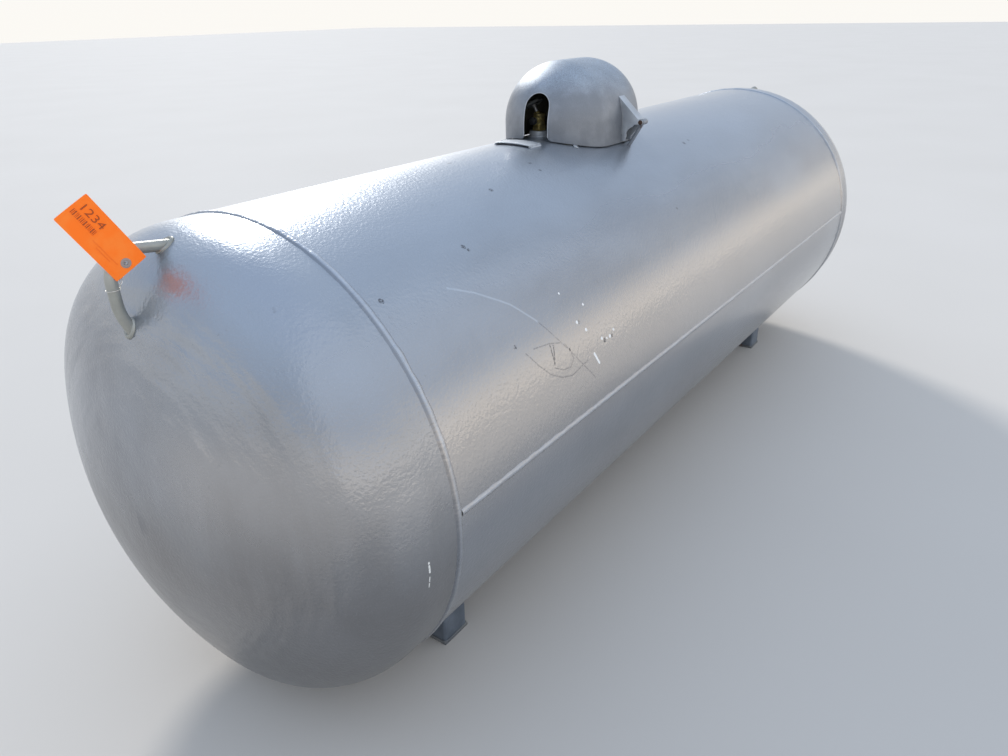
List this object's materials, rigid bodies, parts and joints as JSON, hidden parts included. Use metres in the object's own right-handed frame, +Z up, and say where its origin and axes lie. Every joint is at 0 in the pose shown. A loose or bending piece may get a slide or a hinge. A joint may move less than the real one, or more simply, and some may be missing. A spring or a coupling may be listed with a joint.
{
  "type": "horizontal pressure tank",
  "caption": "Horizontal steel pressure tank on short channel legs, with dished heads, a lifting ring at each end and a hinged hood over the fittings on top.",
  "frame": {"origin": "on the floor, at the middle of the tank's length and width", "axes": "+X along the tank from the tagged near end to the far end; +Z up; -Y is the side with the long seam and the hood's hinge"},
  "size_m": [3.0228, 0.9544, 1.1815],
  "materials": {
    "tank_paint": "silver-grey semi-gloss paint with orange peel",
    "ring_paint": "silver-grey paint, brushed on",
    "leg_paint": "blue-grey paint, dusty at the foot",
    "hood_paint": "silver-grey paint, rough on top",
    "bare_steel": "dull steel with thin paint",
    "rusted_steel": "rusted steel",
    "valve_brass": "dull brass",
    "wheel_paint": "blue gloss paint",
    "cap_rubber": "black rubber",
    "plug_plastic": "red plastic",
    "dial_plastic": "pale dial",
    "tag_plastic": "orange coated tag",
    "eyelet_plastic": "buff fibre eyelet",
    "tie_wire": "thin galvanised wire"
  },
  "bodies": {
    "tank": {"shell": "tank_paint", "near_head": "tank_paint", "far_head": "tank_paint", "near_girth_weld": "tank_paint", "far_girth_weld": "tank_paint", "long_seam_weld": "tank_paint", "near_lifting_ring": "ring_paint", "far_lifting_ring": "ring_paint", "leg_front_near": "leg_paint", "leg_front_far": "leg_paint", "leg_back_near": "leg_paint", "leg_back_far": "leg_paint", "foot_front_near": "leg_paint", "foot_front_far": "leg_paint", "foot_back_near": "leg_paint", "foot_back_far": "leg_paint", "hinge_bracket": "bare_steel", "hinge_pin": "rusted_steel", "crown_strap": "tank_paint", "rest_lugs": "tank_paint", "fitting_bosses": "bare_steel", "service_valve": "valve_brass", "outlet_plug": "plug_plastic", "service_spindle": "valve_brass", "service_handwheel": "wheel_paint", "relief_valve": "valve_brass", "relief_cap": "cap_rubber", "fill_valve": "valve_brass", "fill_cap": "valve_brass", "float_gauge": "bare_steel", "gauge_dial": "dial_plastic", "vapour_valve": "valve_brass", "vapour_cap": "valve_brass", "lot_tag": "tag_plastic", "tag_eyelet": "eyelet_plastic", "tag_wire": "tie_wire"},
    "hood": {"hood": "hood_paint", "hinge_box": "hood_paint"}
  },
  "joints": [
    {"name": "hood_hinge", "type": "hinge", "parent": "tank", "child": "hood", "pos_m": [-0.067, -0.2095, 1.02714], "axis": [1, 0, 0], "range_deg": [0, 105]}
  ]
}
